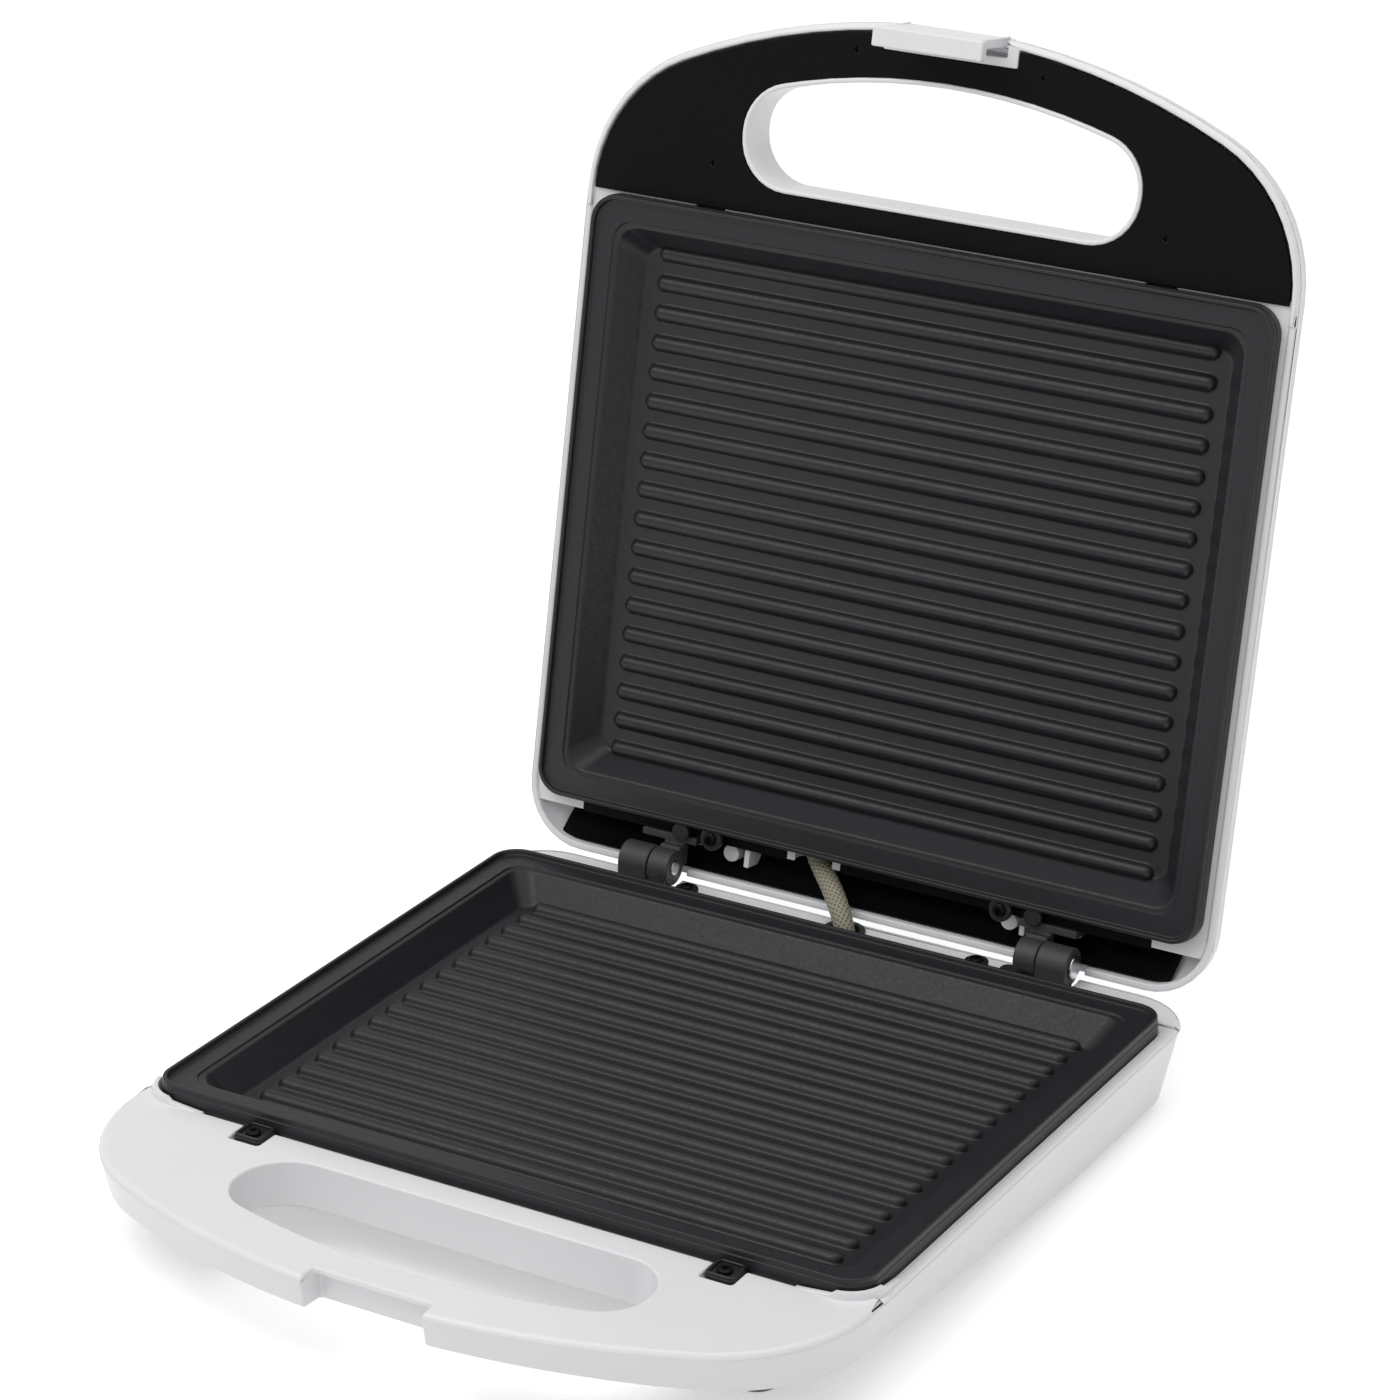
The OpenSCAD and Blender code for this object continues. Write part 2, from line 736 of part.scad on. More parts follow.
module wiring_sleeve() {
  side = [0, 1, 0];
  points = [for (i = [0:sleeve_rings]) let (
      t = i / sleeve_rings,
      dir = unit(bezier(min(t + 0.01, 1)) - bezier(max(t - 0.01, 0))),
      u = unit(cross(dir, side)),
      v = cross(dir, u))
    for (j = [0:sleeve_sides - 1]) let (a = 360 * j / sleeve_sides)
      bezier(t) + sleeve_r * (cos(a) * u + sin(a) * v)];
  n = sleeve_sides;
  sides = [for (i = [0:sleeve_rings - 1]) for (j = [0:n - 1])
    [i * n + j, i * n + (j + 1) % n, (i + 1) * n + (j + 1) % n, (i + 1) * n + j]];
  ends = [[for (j = [n - 1:-1:0]) j], [for (j = [0:n - 1]) sleeve_rings * n + j]];
  color("#8E8A78") place() polyhedron(points, concat(sides, ends));
}

module sleeve_bush() {
  color(black) place() difference() {
    union() {
      peg(sleeve_hole[0], sleeve_hole[1], rear_deck - deck_skin, rear_deck, bush_r);
      peg(sleeve_hole[0], sleeve_hole[1], rear_deck, rear_deck + 1, bush_r + 0.8);
    }
    peg(sleeve_hole[0], sleeve_hole[1], rear_deck - 9, rear_deck + 9, bush_r - 1.2);
  }
}

// ---- lid ----

// Domed outside of the lid in the flipped frame, drawn in by d with its crown lifted by up
module domed(d, up, top) {
  hull() {
    slab(top - 0.2, top, outline(d + lid_sections[0][1]));
    for (s = [for (i = [1:len(lid_sections) - 1]) lid_sections[i]])
      slab(s[0] + up, s[0] + up + 0.2, s[2] ? outline(d + s[1]) : body_plan(d + s[1]));
  }
}

module cover_bosses() {
  both() for (p = cover_screw_xy)
    peg(p[0], p[1], 10, cover_seat, 3.6);
}

module lid_inside() {
  slab(0, handle_top, slot_plan(slot_wall - 0.6));
  plate_ledge(ledge_top);
  tab_seat(up_tab_top);
  block([-latch_half - 5, -handle_front - 1, 0],
    [latch_half + 5, -handle_front + notch_depth + 2, handle_top]);
  cover_bosses();
  block([-half_w, bulkhead_y, 0], [half_w, bulkhead_y + bulkhead_t, ledge_top]);
  both() for (p = ref_screws)
    peg(p[0], p[1], 0, reflector_z, 4);
}

module lid_hollow() {
  difference() {
    domed(wall, wall, part_z);
    lid_inside();
  }
}

// Space in the lid handle for the latch to swing in
module latch_space() {
  block([-latch_half - 0.5, -handle_front - 5, 2 * part_z - latch_z - latch_barrel_r - 0.8],
    [latch_half + 0.5, latch_y + latch_barrel_r + 0.8, part_z]);
}

module lid_shell() {
  color(white) flipped() difference() {
    domed(0, 0, handle_top);
    lid_hollow();
    plate_opening();
    slab(0, 60, slot_plan(0));
    latch_space();
    tab_pocket(up_tab_top);
    along_x(-latch_half - 3.5, latch_half + 3.5, latch_y, 2 * part_z - latch_z,
      latch_pin_r + run_gap);
    block([-half_w - 1, side_y, side_top], [half_w + 1, rear_edge + 1, part_z + 1]);
    both() {
      // Relief in the rear edge round the knuckles of the base
      block([hinge_x - lid_knuckle_w - 1, hinge_y - 6, handle_top - 4.5],
        [hinge_x + knuckle_w + 1.5, rear_edge + 1, part_z]);
      for (p = cover_screw_xy)
        peg(p[0], p[1], cover_seat - 8, cover_seat + 1, 1.3 + run_gap);
      for (x = arm_screw_xs)
        along_y(bulkhead_y - 1, arm_y + 1, x, 2 * part_z - arm_screw_z, screw_r + run_gap);
      for (p = ref_screws)
        peg(p[0], p[1], reflector_z - 5, reflector_z + 1, 1.3 + run_gap);
      peg(lens_x, lens_y, 0, 30, lens_r + run_gap);
    }
    // Way for the wiring sleeve through the bulkhead and the ledge
    along_y(plate_d - 12, arm_y + 3, sleeve_lid[0], 2 * part_z - sleeve_lid[1], sleeve_r + 5.2);
  }
}

module lid_handle_cover() {
  color(black) flipped() difference() {
    intersection() {
      slab(cover_seat, cover_face, outline(3.6));
      block([-half_w, -handle_front, 0], [half_w, -plate_d - 0.9, 60]);
    }
    slab(0, 60, slot_plan(slot_wall - 0.6 + 0.3));
    block([-latch_half - 5.3, -handle_front - 1, 0],
      [latch_half + 5.3, -handle_front + notch_depth + 2.3, 60]);
    both() for (p = cover_screw_xy)
      peg(p[0], p[1], 0, 60, 1.3 + run_gap);
  }
}

module handle_cover_screws() {
  color(black) flipped() both() for (p = cover_screw_xy) {
    peg(p[0], p[1], cover_face, cover_face + 1, 2.6);
    peg(p[0], p[1], cover_seat - 7, cover_face + 0.5, 1.3);
  }
}

// ---- indicator lamps ----

board_z = under_z - 3.6;

module lens() {
  peg(0, 0, 9.4, 16, lens_r);
  peg(0, 0, 15, 16.5, lens_r + 1.5);
}

module power_lens() { color("#C8241C") flipped() translate([-lens_x, lens_y, 0]) lens(); }
module ready_lens() { color("#2E9A46") flipped() translate([lens_x, lens_y, 0]) lens(); }

module lamp_board() {
  color("#3D6B46") flipped()
    block([-26, lens_y - 8, board_z], [26, lens_y + 8, board_z + 1.6]);
}

module lamps() {
  color("#E9A27A") flipped() both() peg(lens_x, lens_y, 16.9, board_z, 2.2);
}

// ---- latch, drawn closed ----

module latch_pin() {
  color(steel) swung()
    along_x(-latch_half - 3.4, latch_half + 3.4, latch_y, latch_z, latch_pin_r);
}

module latch() {
  color(white) swung() difference() {
    union() {
      along_x(-latch_half, latch_half, latch_y, latch_z, latch_barrel_r);
      block([-latch_body_half, -latch_front, hook_top - hook_t],
        [latch_body_half, -latch_front + latch_t, latch_z]);
      block([-latch_half, -latch_front, hook_top - hook_t],
        [latch_half, -latch_front + hook_reach, hook_top]);
    }
    along_x(-latch_half - 1, latch_half + 1, latch_y, latch_z, latch_pin_r + run_gap);
  }
}

base_shell();
base_bottom_cover();
cover_screws();
front_feet();
rear_feet();
lower_grill_plate();
lower_plate_screws();
lower_heating_element();
lower_element_ends();
lower_element_clips();
lower_reflector();
lower_reflector_screws();
thermostat();
lower_thermal_fuse();
terminal_block();
cord_gland();
base_hinge_left();
base_hinge_right();
base_hinge_screws();
hinge_pin_left();
hinge_pin_right();
sleeve_bush();
wiring_sleeve();
lid_shell();
lid_handle_cover();
handle_cover_screws();
upper_grill_plate();
upper_plate_screws();
upper_heating_element();
upper_element_ends();
upper_element_clips();
upper_reflector();
upper_reflector_screws();
upper_thermal_fuse();
lid_hinge_left();
lid_hinge_right();
lid_hinge_screws();
power_lens();
ready_lens();
lamp_board();
lamps();
latch_pin();
latch();
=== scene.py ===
"""Panini press, open: moulded white shells, two ribbed grill plates, a lid on two hinges, a latch."""
from math import asin, cos, degrees, pi, radians, sin

import bmesh
import bpy
import numpy as np
from mathutils import Matrix, Vector

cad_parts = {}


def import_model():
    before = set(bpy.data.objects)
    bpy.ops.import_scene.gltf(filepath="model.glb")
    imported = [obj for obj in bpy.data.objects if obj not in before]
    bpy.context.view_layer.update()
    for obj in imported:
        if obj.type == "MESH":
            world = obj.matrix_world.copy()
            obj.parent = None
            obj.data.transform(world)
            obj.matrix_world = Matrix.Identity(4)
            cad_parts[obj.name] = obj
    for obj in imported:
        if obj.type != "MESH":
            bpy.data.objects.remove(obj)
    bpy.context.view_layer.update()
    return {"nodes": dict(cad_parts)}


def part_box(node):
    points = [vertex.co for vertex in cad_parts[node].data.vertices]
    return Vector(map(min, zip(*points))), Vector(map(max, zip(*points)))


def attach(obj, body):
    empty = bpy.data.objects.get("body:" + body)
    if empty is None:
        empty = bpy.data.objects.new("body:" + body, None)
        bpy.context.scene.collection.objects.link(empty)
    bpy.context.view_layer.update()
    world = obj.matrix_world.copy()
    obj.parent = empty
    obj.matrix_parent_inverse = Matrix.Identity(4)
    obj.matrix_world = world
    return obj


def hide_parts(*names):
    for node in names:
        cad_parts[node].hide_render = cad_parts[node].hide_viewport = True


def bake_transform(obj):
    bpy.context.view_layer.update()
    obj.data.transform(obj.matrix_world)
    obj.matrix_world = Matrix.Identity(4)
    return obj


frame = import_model()
scene = bpy.context.scene

# ---- sizes, in millimetres, of the press drawn flat and closed: plate centre 0, table 0 ----
MM = 0.001
HALF_W = 146.5
HANDLE_FRONT = 199
REAR_EDGE = 139.5
FRONT_R = 270
SIDE_R = 60
REAR_R = 25
HANDLE_TOP = 35.1
PART_Z = 41.3
PLATE_W = 141.2
PLATE_D = 118.8
RIM_TOP = 40.8
RIM_BOTTOM = 33.6
LAND_Z = 38.8
FLOOR_Z = 27
UNDER_Z = 24
RIB_PITCH = 11.5
RIB_COUNT = 18
RIB_HALF = 116.3
RIB_R = 3
RIB_H = 3
HINGE_Y = 134.8
HINGE_Z = 40.4
HINGE_X = 83.2
LEAN = radians(100)
TAB_X = 93
TAB_W = 11.5
TAB_LEN = 10.6
TAB_T = 2.5
TAB_SCREW_Y = -124.6
LOW_TAB_TOP = 35.1
UP_TAB_TOP = 31.4
LUG_Y = 121.4
LUG_Z = 37.4
LUG_T = 2.6
LUGS = ((62, 4.6), (75.5, 3.6))
FRONT_CY = FRONT_R - HANDLE_FRONT
# Height of each section of the lid in the turned-over frame, its inset, and whether it has the handle
LID_SECTIONS = (
    (36.5, -0.4, True),
    (33.3, -0.4, True),
    (28.5, -0.1, True),
    (21, 5, True),
    (11, 17, False),
    (6, 32, False),
    (4, 52, False),
)
SLEEVE_R = 4
SLEEVE_PATH = ((5, 128, 22), (2, 130.5, 50), (-24, 154, 44), (-25, 154, 58))
# Distance that the whole press is moved so that its box is centred on y = 0
ORIGIN_Y = -HANDLE_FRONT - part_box("base_shell")[0].y / MM


# ---- places ----
def on_base(p):
    """A drawn point on the base, in the scene's metres."""
    return Vector((p[0], p[1] - ORIGIN_Y, p[2])) * MM


def on_lid(p):
    """A point drawn on the closed lid, swung open about the hinge."""
    y = p[1] - HINGE_Y
    z = p[2] - HINGE_Z
    c = cos(LEAN)
    s = -sin(LEAN)
    return Vector((p[0], y * c - z * s + HINGE_Y - ORIGIN_Y, y * s + z * c + HINGE_Z)) * MM


def turned(p):
    """A lid point drawn like one of the base, turned over about the parting plane."""
    return on_lid((p[0], p[1], 2 * PART_Z - p[2]))


# ---- node trees ----
def add(tree, kind, inputs=None, links=None, **settings):
    """Adds a node with its settings, its input values and the links into it."""
    node = tree.nodes.new(kind)
    for name, value in settings.items():
        setattr(node, name, value)
    for key, value in (inputs or {}).items():
        node.inputs[key].default_value = value
    for key, source in (links or {}).items():
        tree.links.new(source, node.inputs[key])
    return node


def linear(code, scale=1.0):
    """sRGB hex to linear RGBA."""
    rgb = [int(code[i : i + 2], 16) / 255 for i in (1, 3, 5)]
    rgb = [c / 12.92 if c <= 0.04045 else ((c + 0.055) / 1.055) ** 2.4 for c in rgb]
    return (*[c * scale for c in rgb], 1)


def surface(
    name, colour, roughness, grain, depth, tone=0.04, gloss=0.06, patch=35, metallic=0.0, **shader
):
    """Surface with a grain and patches of real sizes in mm; depth is the grain's height in mm."""
    material = bpy.data.materials.new(name)
    material.use_nodes = True
    tree = material.node_tree
    tree.nodes.clear()
    place = add(tree, "ShaderNodeTexCoord").outputs["Object"]
    clouds = add(
        tree,
        "ShaderNodeTexNoise",
        {"Scale": 1 / (patch * MM), "Detail": 3.0, "Roughness": 0.55},
        {"Vector": place},
    )
    fine = add(
        tree,
        "ShaderNodeTexNoise",
        {"Scale": 1 / (grain * MM), "Detail": 2.0, "Roughness": 0.6},
        {"Vector": place},
    )
    ramp = add(tree, "ShaderNodeValToRGB", links={"Fac": clouds.outputs["Fac"]})
    ramp.color_ramp.elements[0].position = 0.3
    ramp.color_ramp.elements[0].color = linear(colour, 1 - tone)
    ramp.color_ramp.elements[1].position = 0.7
    ramp.color_ramp.elements[1].color = linear(colour, 1 + tone / 3)
    dull = add(
        tree,
        "ShaderNodeMapRange",
        {
            "From Min": 0.3,
            "From Max": 0.7,
            "To Min": max(roughness - gloss, 0.02),
            "To Max": min(roughness + gloss, 1),
        },
        {"Value": fine.outputs["Fac"]},
    )
    bump = add(
        tree,
        "ShaderNodeBump",
        {"Strength": 1.0, "Distance": depth * MM},
        {"Height": fine.outputs["Fac"]},
    )
    principled = add(
        tree,
        "ShaderNodeBsdfPrincipled",
        {"Metallic": metallic, **shader},
        {
            "Base Color": ramp.outputs["Color"],
            "Roughness": dull.outputs["Result"],
            "Normal": bump.outputs["Normal"],
        },
    )
    add(tree, "ShaderNodeOutputMaterial", links={"Surface": principled.outputs["BSDF"]})
    return material


# ---- finishes ----
# ABS, injection moulded in a polished tool: a clean white with a soft gloss and barely any grain
white_abs = surface("abs_moulded_white", "#E9E9EB", 0.3, 0.9, 0.0015, 0.02, 0.03)
# ABS, moulded in a spark-eroded tool: near black and matte, with a fine even texture. The same black also
# paints the shade in the lid's rear hollow, as a sheet there.
black_abs_and_painted_shade = surface(
    "abs_spark_textured_black_and_painted_shade", "#060607", 0.6, 0.7, 0.03, 0.1, 0.08, **{"Specular IOR Level": 0.12}
)
# Aluminium die casting under a sprayed non-stick coat: dark grey, satin, with a slight orange peel
coating = surface(
    "aluminium_cast_nonstick_coated", "#232327", 0.4, 1.6, 0.03, 0.12, 0.07,
    **{"Specular IOR Level": 0.4},
)
# Glass-filled polypropylene, moulded: dark grey and dull
hinge_pp = surface("polypropylene_moulded_grey", "#38383A", 0.5, 0.8, 0.03, 0.08)
# Silicone rubber, moulded: mid grey, soft and without gloss
rubber = surface("silicone_rubber_moulded_grey", "#7E8084", 0.75, 0.6, 0.03, 0.08)
# Steel screws, blackened in an oxide bath: dark with an oily sheen
black_steel = surface("steel_black_oxide", "#1B1B1D", 0.38, 0.4, 0.01, 0.2, metallic=0.85)
# Steel, zinc plated: pale with bluish clouds
zinc = surface("steel_zinc_plated", "#B4B6BA", 0.34, 0.5, 0.01, 0.15, patch=3, metallic=1.0)
# Steel pins, ground: bright with fine scratches
pin_steel = surface("steel_ground", "#C4C5C8", 0.24, 0.2, 0.004, 0.08, patch=6, metallic=1.0)
# Steel tube of the element, oxidised by heat: brown-grey and dull
tube_steel = surface("steel_tube_heat_oxidised", "#6F6A66", 0.5, 0.8, 0.01, 0.3, metallic=0.9)
# Aluminium sheet, rolled: bright with a soft sheen
sheet = surface("aluminium_sheet_rolled", "#C9CBCE", 0.28, 0.6, 0.005, 0.06, metallic=1.0)
# Steatite, pressed and fired: chalky off-white
steatite = surface("steatite_fired", "#E2DDD0", 0.8, 0.5, 0.02, 0.08)
# Brass strip, stamped
brass = surface("brass_stamped", "#C6A255", 0.32, 0.6, 0.006, 0.12, metallic=1.0)
# Glass-epoxy laminate with a solder resist
laminate = surface("glass_epoxy_laminate", "#2F5D3A", 0.42, 0.8, 0.01, 0.15)
# Polycarbonate lenses, moulded in clear colours
red_lens = surface(
    "polycarbonate_red", "#B5201A", 0.12, 1.5, 0.004, 0.1, 0.03, **{"Transmission Weight": 0.35}
)
green_lens = surface(
    "polycarbonate_green", "#23803A", 0.12, 1.5, 0.004, 0.1, 0.03, **{"Transmission Weight": 0.35}
)
# Glass of the neon lamps
lamp_glass = surface(
    "glass_neon_lamp", "#E9A27A", 0.08, 1.0, 0.002, 0.1, 0.03, **{"Transmission Weight": 0.6}
)


def braid():
    """Glass-fibre sleeve, braided and varnished: olive cream, two crossing sets of 1.6 mm strands."""
    material = surface("glass_fibre_braided", "#8E8A78", 0.62, 0.5, 0.02, 0.2, patch=6)
    tree = material.node_tree
    shader = next(n for n in tree.nodes if n.type == "BSDF_PRINCIPLED")
    place = add(tree, "ShaderNodeUVMap").outputs["UV"]
    bands = []
    for lean in (45, -45):
        turn = add(
            tree,
            "ShaderNodeMapping",
            {"Rotation": (0, 0, radians(lean))},
            {"Vector": place},
        )
        bands.append(
            add(
                tree,
                "ShaderNodeTexWave",
                {"Scale": 1 / (1.6 * MM) / 20 * 2 * pi, "Distortion": 0.4},
                {"Vector": turn.outputs["Vector"]},
            )
        )
    weave = add(
        tree,
        "ShaderNodeMath",
        links={0: bands[0].outputs["Fac"], 1: bands[1].outputs["Fac"]},
        operation="MAXIMUM",
    )
    bump = add(
        tree,
        "ShaderNodeBump",
        {"Strength": 0.8, "Distance": 0.5 * MM},
        {"Height": weave.outputs["Value"]},
    )
    ramp = add(tree, "ShaderNodeValToRGB", links={"Fac": weave.outputs["Value"]})
    ramp.color_ramp.elements[0].color = linear("#5F5C4E")
    ramp.color_ramp.elements[1].color = linear("#A09C88")
    ramp.color_ramp.elements[1].position = 0.8
    tree.links.new(bump.outputs["Normal"], shader.inputs["Normal"])
    tree.links.new(ramp.outputs["Color"], shader.inputs["Base Color"])
    return material


sleeve_cloth = braid()


# ---- plans, in drawn millimetres ----
def arc(cx, cy, r, a0, a1, n):
    steps = [radians(a0 + (a1 - a0) * i / n) for i in range(n + 1)]
    return [(cx + r * cos(a), cy + r * sin(a)) for a in steps]


def rounded(hw, y0, y1, r, n=8):
    """Rectangle with round corners, counter-clockwise."""
    return (
        arc(hw - r, y1 - r, r, 0, 90, n)
        + arc(r - hw, y1 - r, r, 90, 180, n)
        + arc(r - hw, y0 + r, r, 180, 270, n)
        + arc(hw - r, y0 + r, r, 270, 360, n)
    )


def outline(d):
    """Plan of a shell with its handle, drawn in by d."""
    sx = HALF_W - SIDE_R
    reach = FRONT_R - SIDE_R
    lean = degrees(asin(sx / reach))
    sy = FRONT_CY - reach * cos(radians(lean))
    rx = HALF_W - REAR_R
    ry = REAR_EDGE - REAR_R
    return (
        arc(rx, ry, REAR_R - d, 0, 90, 16)
        + arc(-rx, ry, REAR_R - d, 90, 180, 16)
        + arc(-sx, sy, SIDE_R - d, 180, 270 - lean, 20)
        + arc(0, FRONT_CY, FRONT_R - d, 270 - lean + 1, 270 + lean - 1, 40)
        + arc(sx, sy, SIDE_R - d, 270 + lean, 360, 20)
    )


def body_plan(d):
    """Plan of a shell without its handle, drawn in by d."""
    return rounded(HALF_W - d, -PLATE_D + d, REAR_EDGE - d, max(REAR_R - d / 2, 8), 16)


def reach_at(plan, cx, cy, angle):
    """Distance from (cx, cy) to a convex plan along an angle."""
    dx = cos(angle)
    dy = sin(angle)
    best = 0
    for (ax, ay), (bx, by) in zip(plan, plan[1:] + plan[:1]):
        ex = bx - ax
        ey = by - ay
        det = dy * ex - dx * ey
        if abs(det) < 1e-9:
            continue
        t = ((cx - ax) * dy - (cy - ay) * dx) / det * 1.0
        s = (ex * (ay - cy) - ey * (ax - cx)) / det
        if -1e-6 <= t <= 1 + 1e-6 and s > 0:
            best = max(best, s)
    return best


# ---- mesh helpers ----
def loft(bm, rings):
    """Closed skin through rings of points, capped at both ends."""
    rows = [[bm.verts.new(p) for p in ring] for ring in rings]
    count = len(rows[0])
    for a, b in zip(rows, rows[1:]):
        for i in range(count):
            j = (i + 1) % count
            bm.faces.new((a[i], a[j], b[j], b[i]))
    bm.faces.new(rows[0][::-1])
    bm.faces.new(rows[-1])


def filleted(points, steps=4):
    """Rounds the corners of an open line of (u, v, radius)."""
    line = [points[0][:2]]
    for before, here, after in zip(points, points[1:], points[2:]):
        p = Vector(here[:2])
        a = Vector(before[:2]) - p
        b = Vector(after[:2]) - p
        if here[2] == 0:
            line.append(tuple(p))
            continue
        half = a.angle(b) / 2
        cut = min(here[2] / max(np.tan(half), 1e-6), a.length * 0.49, b.length * 0.49)
        start = p + a.normalized() * cut
        end = p + b.normalized() * cut
        for i in range(steps + 1):
            t = i / steps
            q = start * (1 - t) ** 2 + p * 2 * t * (1 - t) + end * t * t
            line.append(tuple(q))
    line.append(points[-1][:2])
    return line


def pad(bm, plan, z0, z1, edge, steps=3):
    """Slab on plan(d), drawn in by d, with both edges rounded."""
    rings = []
    for i in range(steps + 1):
        a = pi / 2 * i / steps
        d = edge * (1 - sin(a))
        rings.append([(x, y, z0 + edge * (1 - cos(a))) for x, y in plan(d)])
    for i in range(steps, -1, -1):
        a = pi / 2 * i / steps
        d = edge * (1 - sin(a))
        rings.append([(x, y, z1 - edge * (1 - cos(a))) for x, y in plan(d)])
    loft(bm, rings)


def finish_piece(name, bm, place, material, body, replaces=(), smooth=38, weighted=True):
    """Turns drawn geometry into a piece that rides on a body."""
    for v in bm.verts:
        v.co = place(v.co)
    bmesh.ops.remove_doubles(bm, verts=bm.verts, dist=1e-7)
    bmesh.ops.recalc_face_normals(bm, faces=bm.faces)
    mesh = bpy.data.meshes.new(name)
    bm.to_mesh(mesh)
    bm.free()
    return dress(name, mesh, material, body, replaces, smooth, weighted)


def dress(name, mesh, material, body, replaces=(), smooth=38, weighted=True):
    """Shades a mesh, gives it its finish and joins it to its body."""
    mesh.materials.clear()
    mesh.materials.append(material)
    mesh.shade_smooth()
    mesh.set_sharp_from_angle(angle=radians(smooth))
    thing = bpy.data.objects.new(name, mesh)
    scene.collection.objects.link(thing)
    if weighted:
        even = thing.modifiers.new("even_shading", "WEIGHTED_NORMAL")
        even.keep_sharp = True
        bake(thing)
    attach(thing, body)
    if replaces:
        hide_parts(*replaces)
    return thing


def bake(thing):
    """Replaces a mesh by what its modifiers make of it."""
    bpy.context.view_layer.update()
    graph = bpy.context.evaluated_depsgraph_get()
    mesh = bpy.data.meshes.new_from_object(
        thing.evaluated_get(graph), preserve_all_data_layers=True, depsgraph=graph
    )
    thing.modifiers.clear()
    thing.data = mesh


def merged_copy(node, name):
    """A CAD node's shape as one clean mesh."""
    bm = bmesh.new()
    bm.from_mesh(frame["nodes"][node].data)
    bmesh.ops.remove_doubles(bm, verts=bm.verts, dist=2e-6)
    mesh = bpy.data.meshes.new(name)
    bm.to_mesh(mesh)
    bm.free()
    thing = bpy.data.objects.new(name, mesh)
    scene.collection.objects.link(thing)
    return thing


def join_flats(thing):
    """Joins the triangles of each flat face."""
    bm = bmesh.new()
    bm.from_mesh(thing.data)
    bmesh.ops.dissolve_limit(
        bm, angle_limit=radians(0.4), verts=bm.verts, edges=bm.edges, delimit={"NORMAL"}
    )
    bm.to_mesh(thing.data)
    bm.free()


def soften(thing, width, angle=32, segments=3, joined=True):
    """Rounds every sharp edge by width, in mm, as a moulding tool leaves it."""
    if joined:
        join_flats(thing)
    bevel = thing.modifiers.new("moulded_edges", "BEVEL")
    bevel.width = width * MM
    bevel.segments = segments
    bevel.limit_method = "ANGLE"
    bevel.angle_limit = radians(angle)
    bevel.use_clamp_overlap = False
    bevel.miter_outer = "MITER_ARC"
    bake(thing)


def softened(node, width, material, body, angle=32):
    """A CAD node's shape with its edges rounded, standing for that node."""
    name = node + "_moulded"
    thing = merged_copy(node, name + "_shape")
    soften(thing, width, angle)
    mesh = thing.data
    bpy.data.objects.remove(thing)
    return dress(name, mesh, material, body, (node,))


# ---- repeated pieces ----
def spots_tree():
    """Puts one piece at each point of a mesh."""
    tree = bpy.data.node_groups.new("pieces_at_points", "GeometryNodeTree")
    for label, kind in (
        ("Points", "NodeSocketGeometry"),
        ("Piece", "NodeSocketObject"),
        ("Finish", "NodeSocketMaterial"),
    ):
        tree.interface.new_socket(label, in_out="INPUT", socket_type=kind)
    tree.interface.new_socket("Geometry", in_out="OUTPUT", socket_type="NodeSocketGeometry")
    given = add(tree, "NodeGroupInput")
    shape = add(tree, "GeometryNodeObjectInfo", links={"Object": given.outputs["Piece"]})
    many = add(
        tree,
        "GeometryNodeInstanceOnPoints",
        links={"Points": given.outputs["Points"], "Instance": shape.outputs["Geometry"]},
    )
    real = add(tree, "GeometryNodeRealizeInstances", links={"Geometry": many.outputs["Instances"]})
    done = add(
        tree,
        "GeometryNodeSetMaterial",
        links={"Geometry": real.outputs["Geometry"], "Material": given.outputs["Finish"]},
    )
    add(tree, "NodeGroupOutput", links={"Geometry": done.outputs["Geometry"]})
    return tree


def row_tree():
    """Puts one piece at each step of a straight row."""
    tree = bpy.data.node_groups.new("pieces_in_a_row", "GeometryNodeTree")
    for label, kind in (
        ("Geometry", "NodeSocketGeometry"),
        ("Piece", "NodeSocketObject"),
        ("Count", "NodeSocketInt"),
        ("Start", "NodeSocketVector"),
        ("Step", "NodeSocketVector"),
        ("Finish", "NodeSocketMaterial"),
    ):
        tree.interface.new_socket(label, in_out="INPUT", socket_type=kind)
    tree.interface.new_socket("Geometry", in_out="OUTPUT", socket_type="NodeSocketGeometry")
    given = add(tree, "NodeGroupInput")
    line = add(
        tree,
        "GeometryNodeMeshLine",
        links={
            "Count": given.outputs["Count"],
            "Start Location": given.outputs["Start"],
            "Offset": given.outputs["Step"],
        },
    )
    shape = add(tree, "GeometryNodeObjectInfo", links={"Object": given.outputs["Piece"]})
    many = add(
        tree,
        "GeometryNodeInstanceOnPoints",
        links={"Points": line.outputs["Mesh"], "Instance": shape.outputs["Geometry"]},
    )
    real = add(tree, "GeometryNodeRealizeInstances", links={"Geometry": many.outputs["Instances"]})
    done = add(
        tree,
        "GeometryNodeSetMaterial",
        links={"Geometry": real.outputs["Geometry"], "Material": given.outputs["Finish"]},
    )
    add(tree, "NodeGroupOutput", links={"Geometry": done.outputs["Geometry"]})
    return tree


SPOTS = spots_tree()
ROW = row_tree()


